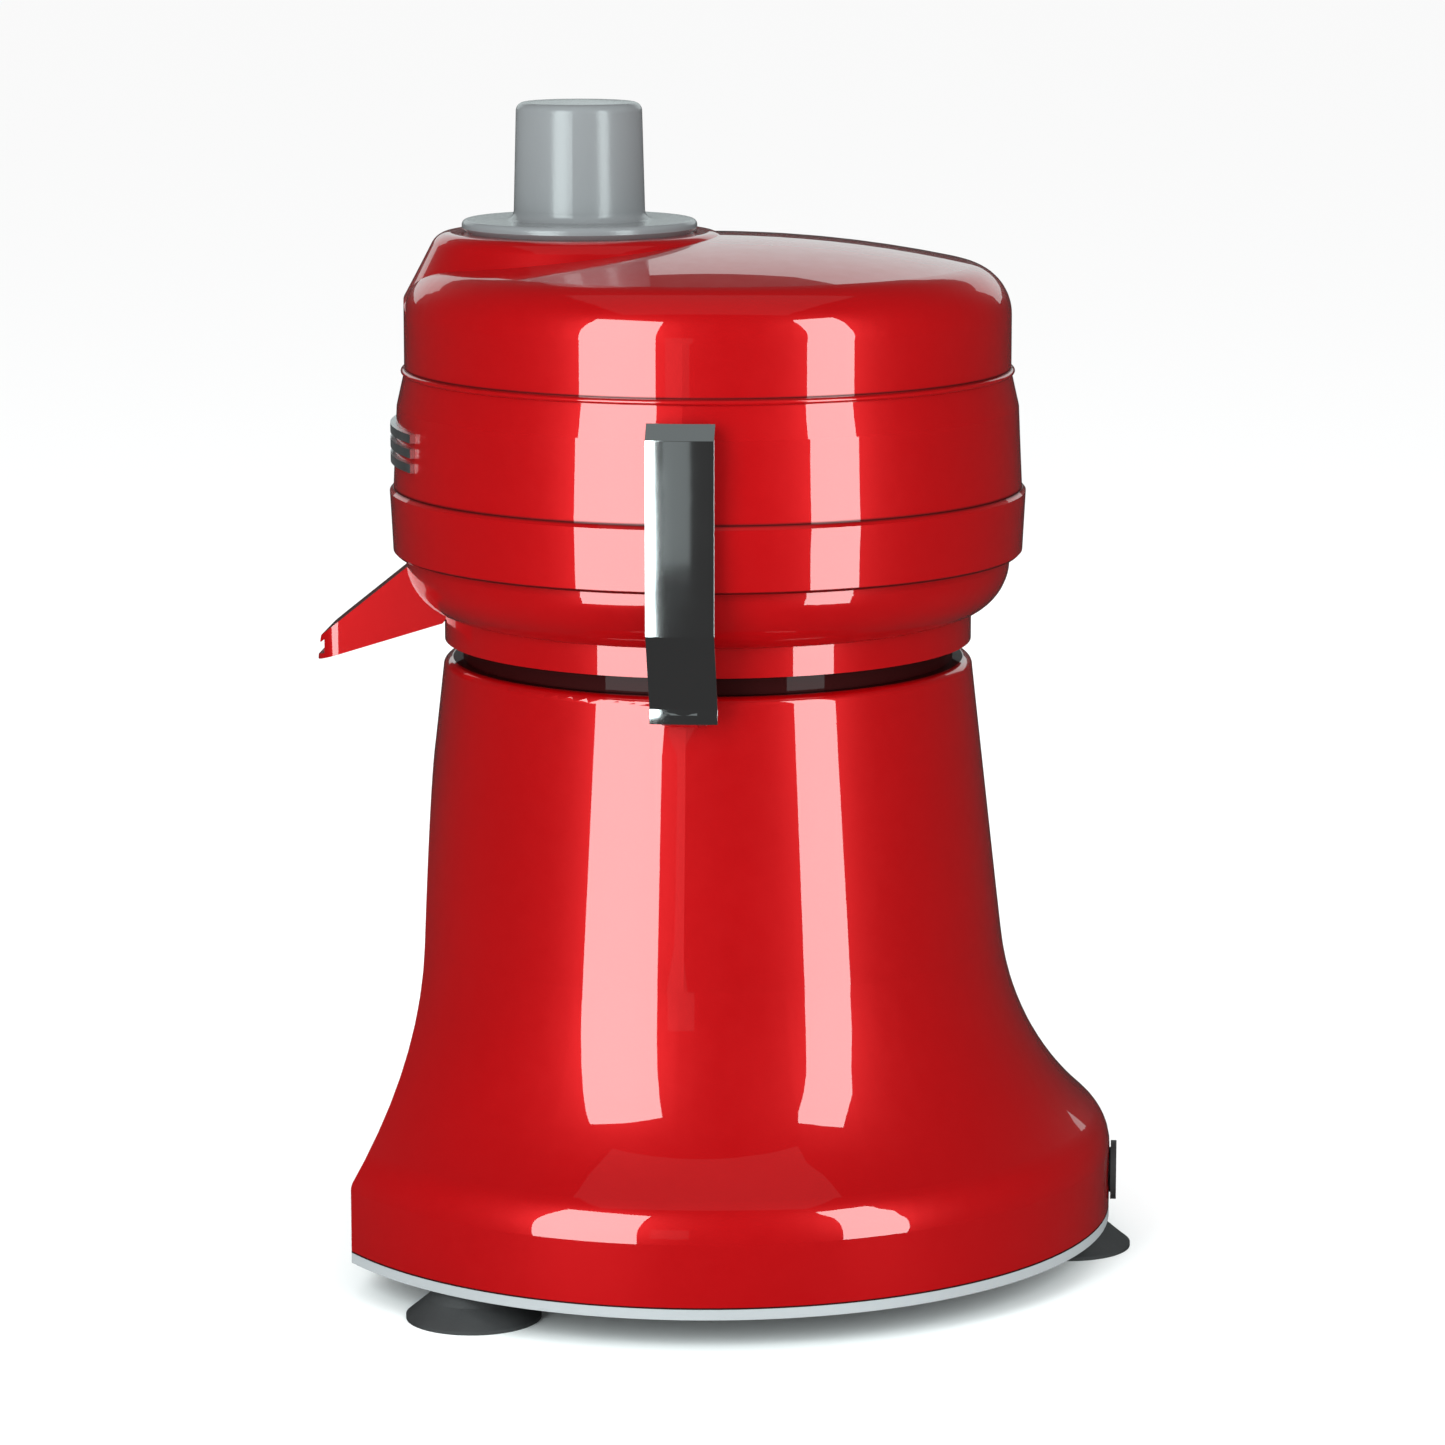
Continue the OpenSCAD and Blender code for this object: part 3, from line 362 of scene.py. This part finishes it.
floor_mesh = bmesh.new()
bmesh.ops.create_grid(floor_mesh, x_segments=2, y_segments=2, size=30.0)
floor_data = bpy.data.meshes.new("studio_floor")
floor_mesh.to_mesh(floor_data)
floor_mesh.free()
floor = bpy.data.objects.new("studio_floor", floor_data)
bpy.context.scene.collection.objects.link(floor)
floor_finish = Finish("pale_floor", (0.95, 0.95, 0.95), Roughness=0.9, Specular_IOR_Level=0.0)
floor_data.materials.append(floor_finish.material)

VIEW_TURN, VIEW_RISE = math.radians(94.4), math.radians(10.05)
AIM_HEIGHT, SIDE_STEP, DISTANCE = 0.183, 0.005, 1.793
axis_foot = Vector((0.0, AXIS_Y, 0.0))
back = Vector((math.sin(VIEW_TURN) * math.cos(VIEW_RISE),
               -math.cos(VIEW_TURN) * math.cos(VIEW_RISE), math.sin(VIEW_RISE)))
right = Vector((math.cos(VIEW_TURN), math.sin(VIEW_TURN), 0.0))

camera_data = bpy.data.cameras.new("camera")
camera_data.sensor_width, camera_data.lens = 36.0, 129.55
camera = bpy.data.objects.new("camera", camera_data)
bpy.context.scene.collection.objects.link(camera)
camera.location = axis_foot + Vector((0, 0, AIM_HEIGHT)) + SIDE_STEP * right + DISTANCE * back
camera.rotation_euler = (-back).to_track_quat("-Z", "Y").to_euler()
bpy.context.scene.camera = camera


def panel(name, turn, distance, height, width, tall, power, aim):
    """A soft light panel, turned this many degrees to the camera's right. Metres, watts."""
    angle = VIEW_TURN + math.radians(turn)
    place = axis_foot + Vector((math.sin(angle) * distance, -math.cos(angle) * distance, height))
    data = bpy.data.lights.new(name, "AREA")
    data.shape, data.size, data.size_y, data.energy = "RECTANGLE", width, tall, power
    data.color = (0.88, 1.0, 1.0)
    light = bpy.data.objects.new(name, data)
    light.location = place
    light.rotation_euler = (place - Vector(aim)).to_track_quat("Z", "Y").to_euler()
    light.visible_camera = False
    bpy.context.scene.collection.objects.link(light)


panel("left_panel", -32.6, 1.3, 0.595, 0.66, 1.57, 25.0, (0, 0, 0.595))
panel("right_panel", 45.0, 1.3, 0.595, 0.42, 1.57, 15.5, (0, 0, 0.595))
panel("back_panel", 180.0, 1.8, 0.85, 2.6, 0.70, 5.0, (0, 0, 0.35))
panel("front_panel", -10.0, 1.7, 0.25, 0.30, 0.50, 0.07, (0, 0, 0.25))
panel("overhead_panel", 0.0, 0.2, 1.9, 1.6, 1.6, 1.2, (0, 0, 0))

# The room is bright, but shows dim in polished surfaces, as a dark room round the panels does.
world = bpy.data.worlds.new("soft_room")
bpy.context.scene.world = world
world.use_nodes = True
room = world.node_tree
mirrored = Wire(room, room.nodes.new("ShaderNodeLightPath").outputs["Is Glossy Ray"])
room.nodes["Background"].inputs["Color"].default_value = (1, 1, 1, 1)
plug(room, room.nodes["Background"].inputs["Strength"], 1 - 0.965 * mirrored)
floor.visible_glossy = False
bpy.context.scene.view_settings.view_transform = "Standard"
